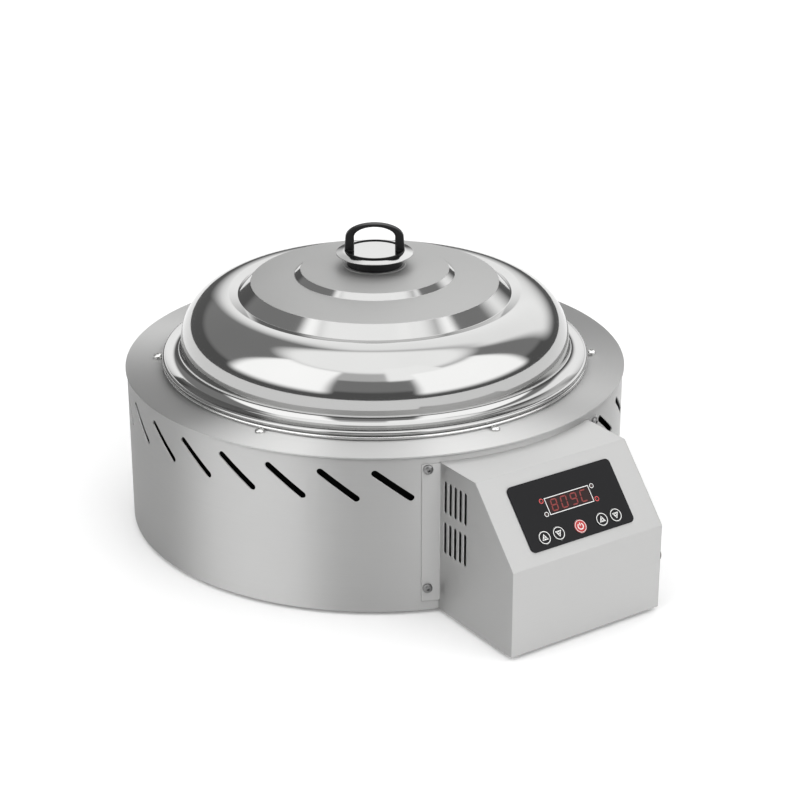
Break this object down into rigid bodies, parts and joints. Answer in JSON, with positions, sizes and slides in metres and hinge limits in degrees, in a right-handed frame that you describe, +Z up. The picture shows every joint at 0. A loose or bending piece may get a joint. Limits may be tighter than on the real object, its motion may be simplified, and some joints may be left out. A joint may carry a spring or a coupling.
{
  "type": "electric steamer",
  "caption": "Round countertop electric steamer with a slotted steel drum, a drop-in pan with a rack, a lift-off stepped domed lid with a loop handle, and a sloping keypad box.",
  "frame": {"origin": "on the counter, under the middle of the footprint", "axes": "+Z up, the control box faces -Y, +X to the right of someone who faces the box"},
  "size_m": [0.5199, 0.62, 0.3132],
  "materials": {
    "brushed_stainless": "satin brushed",
    "polished_stainless": "mirror polished",
    "pan_steel": "satin",
    "inner_sheet": "mill finish",
    "fastener_steel": "bright",
    "element_sheath": "heat-darkened",
    "brass": "plain",
    "black_bakelite": "semi-gloss moulded",
    "black_plastic": "moulded",
    "overlay_film": "fine-grained film",
    "power_key_red": "fine-grained film",
    "tinted_window": "tinted",
    "display_block": "moulded",
    "lamp_lens": "clear moulded",
    "rubber": "moulded",
    "ceramic_fibre": "felted",
    "glass_cloth": "woven",
    "ceramic": "glazed",
    "circuit_board": "solder-masked",
    "transformer_core": "varnished",
    "relay_blue": "moulded",
    "lead_sheath": "silicone"
  },
  "bodies": {
    "base": {"drum_wall": "brushed_stainless", "top_plate": "brushed_stainless", "control_box_shell": "brushed_stainless", "collar_ring": "inner_sheet", "base_plate": "inner_sheet", "heat_shield": "inner_sheet", "reflector_tray": "inner_sheet", "tray_posts": "inner_sheet", "element_clips": "inner_sheet", "probe_bracket": "inner_sheet", "control_box_bottom": "inner_sheet", "top_plate_screws": "fastener_steel", "base_screws": "fastener_steel", "foot_screws": "fastener_steel", "foot_nuts": "fastener_steel", "tray_screws": "fastener_steel", "box_bottom_screws": "fastener_steel", "flange_screws": "fastener_steel", "board_screws": "fastener_steel", "outer_element": "element_sheath", "inner_element": "element_sheath", "terminal_nuts": "brass", "board_standoffs": "brass", "temperature_probe": "brass", "cord_gland": "black_plastic", "gland_nut": "black_plastic", "tact_switches": "black_plastic", "control_overlay": "overlay_film", "display_window": "tinted_window", "display_module": "display_block", "indicator_lamps": "lamp_lens", "rubber_feet": "rubber", "base_insulation": "ceramic_fibre", "insulation_ring": "glass_cloth", "terminal_bushes": "ceramic", "terminal_block": "ceramic", "control_board": "circuit_board", "power_board": "circuit_board", "transformer": "transformer_core", "power_relays": "relay_blue", "heater_leads": "lead_sheath"},
    "pan": {"pan": "pan_steel"},
    "rack": {"steam_rack": "pan_steel", "rack_legs": "pan_steel"},
    "lid": {"lid_shell": "polished_stainless", "handle_neck": "black_bakelite", "handle_plate": "polished_stainless", "lid_handle": "black_bakelite", "handle_screws": "fastener_steel", "handle_washers": "fastener_steel"},
    "time_up": {"key_time_up": "overlay_film"},
    "time_down": {"key_time_down": "overlay_film"},
    "power": {"key_power": "power_key_red"},
    "temp_up": {"key_temp_up": "overlay_film"},
    "temp_down": {"key_temp_down": "overlay_film"}
  },
  "joints": [
    {"name": "pan_lift", "type": "slide", "parent": "base", "child": "pan", "axis": [0, 0, 1], "range_m": [0, 0.25]},
    {"name": "rack_lift", "type": "slide", "parent": "pan", "child": "rack", "axis": [0, 0, 1], "range_m": [0, 0.2]},
    {"name": "lid_lift", "type": "slide", "parent": "rack", "child": "lid", "axis": [0, 0, 1], "range_m": [0, 0.3]},
    {"name": "time_up_press", "type": "slide", "parent": "base", "child": "time_up", "axis": [0, 0.7498, -0.6616], "range_m": [0, 0.0004], "stiffness_N_per_m": 600, "springref_m": -0.0005},
    {"name": "time_down_press", "type": "slide", "parent": "base", "child": "time_down", "axis": [0, 0.7498, -0.6616], "range_m": [0, 0.0004], "stiffness_N_per_m": 600, "springref_m": -0.0005},
    {"name": "power_press", "type": "slide", "parent": "base", "child": "power", "axis": [0, 0.7498, -0.6616], "range_m": [0, 0.0004], "stiffness_N_per_m": 600, "springref_m": -0.0005},
    {"name": "temp_up_press", "type": "slide", "parent": "base", "child": "temp_up", "axis": [0, 0.7498, -0.6616], "range_m": [0, 0.0004], "stiffness_N_per_m": 600, "springref_m": -0.0005},
    {"name": "temp_down_press", "type": "slide", "parent": "base", "child": "temp_down", "axis": [0, 0.7498, -0.6616], "range_m": [0, 0.0004], "stiffness_N_per_m": 600, "springref_m": -0.0005}
  ]
}
